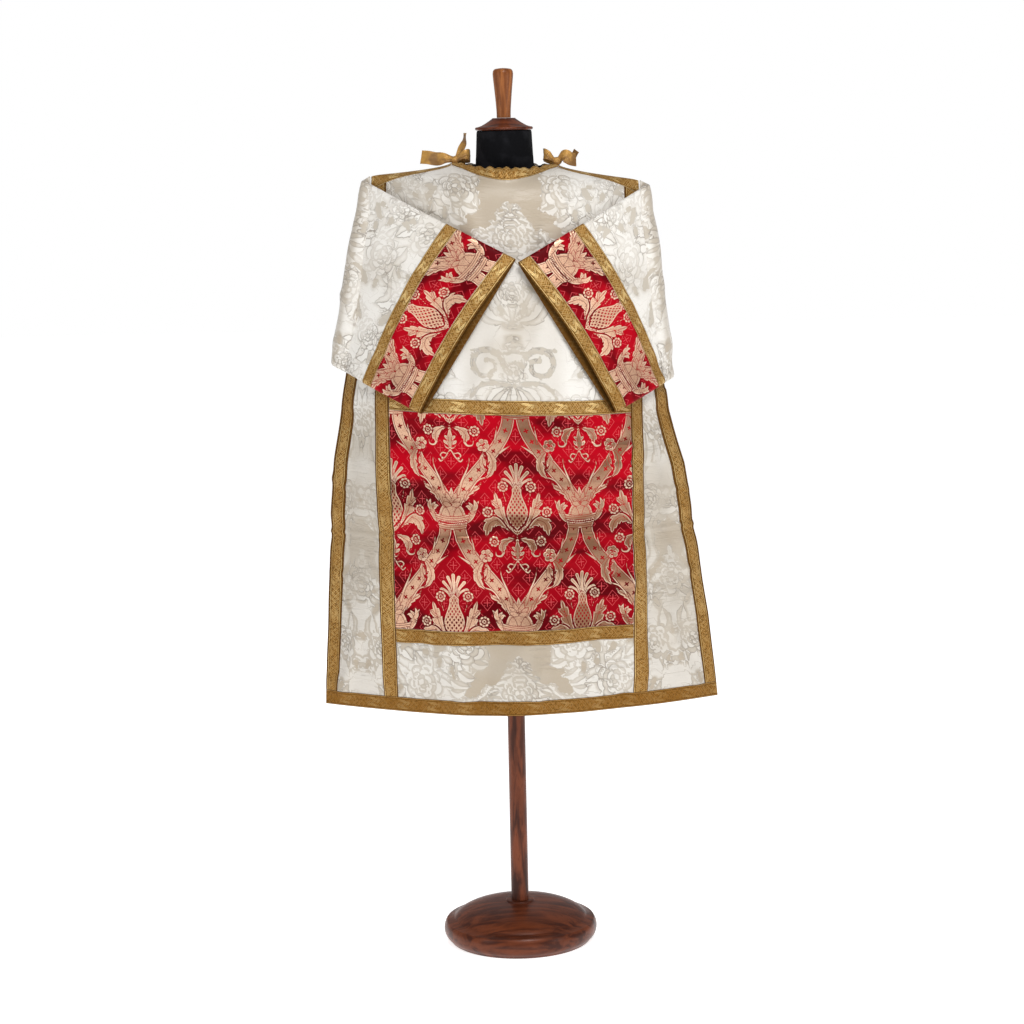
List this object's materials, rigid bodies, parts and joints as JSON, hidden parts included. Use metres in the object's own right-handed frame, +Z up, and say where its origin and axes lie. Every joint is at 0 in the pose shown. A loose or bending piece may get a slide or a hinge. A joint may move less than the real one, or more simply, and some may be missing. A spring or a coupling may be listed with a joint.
{
  "type": "dalmatic on a dress form",
  "caption": "Wide-sleeved liturgical tunic with open sides, apparels and metal-thread galloons, hanging on a limbless dress form with a turned base and finial.",
  "frame": {"origin": "centre of the underside of the form's base, on the form's axis", "axes": "+Z up along the form's pole; the garment's front faces -Y; +X is to the right as seen from the front"},
  "size_m": [0.7551, 0.344, 1.69],
  "materials": {
    "ivory_damask": "silk damask, satin",
    "crimson_lampas": "silk lampas, satin ground",
    "gold_galloon": "metal-thread braid",
    "gold_ribbon": "satin ribbon",
    "black_jersey": "matt jersey",
    "mahogany": "polished stain",
    "light_wood": "varnish"
  },
  "bodies": {
    "root": {"back_apparel": "crimson_lampas", "back_clavus_left": "gold_galloon", "back_clavus_right": "gold_galloon", "back_hem_galloon": "gold_galloon", "back_lower_galloon": "gold_galloon", "back_neck_galloon": "gold_galloon", "back_panel": "ivory_damask", "back_shoulder_galloon_left": "gold_galloon", "back_shoulder_galloon_right": "gold_galloon", "back_side_galloon_left": "gold_galloon", "back_side_galloon_right": "gold_galloon", "back_upper_galloon": "gold_galloon", "cuff_apparel_left": "crimson_lampas", "cuff_apparel_right": "crimson_lampas", "cuff_binding_left": "gold_galloon", "cuff_binding_right": "gold_galloon", "cuff_galloon_left": "gold_galloon", "cuff_galloon_right": "gold_galloon", "form_base": "mahogany", "form_cap": "mahogany", "form_finial": "light_wood", "form_pole": "mahogany", "form_torso": "black_jersey", "front_apparel": "crimson_lampas", "front_clavus_left": "gold_galloon", "front_clavus_right": "gold_galloon", "front_hem_galloon": "gold_galloon", "front_lower_galloon": "gold_galloon", "front_neck_galloon": "gold_galloon", "front_panel": "ivory_damask", "front_shoulder_galloon_left": "gold_galloon", "front_shoulder_galloon_right": "gold_galloon", "front_side_galloon_left": "gold_galloon", "front_side_galloon_right": "gold_galloon", "front_upper_galloon": "gold_galloon", "sleeve_left": "ivory_damask", "sleeve_right": "ivory_damask", "tie_left": "gold_ribbon", "tie_right": "gold_ribbon"}
  },
  "joints": []
}
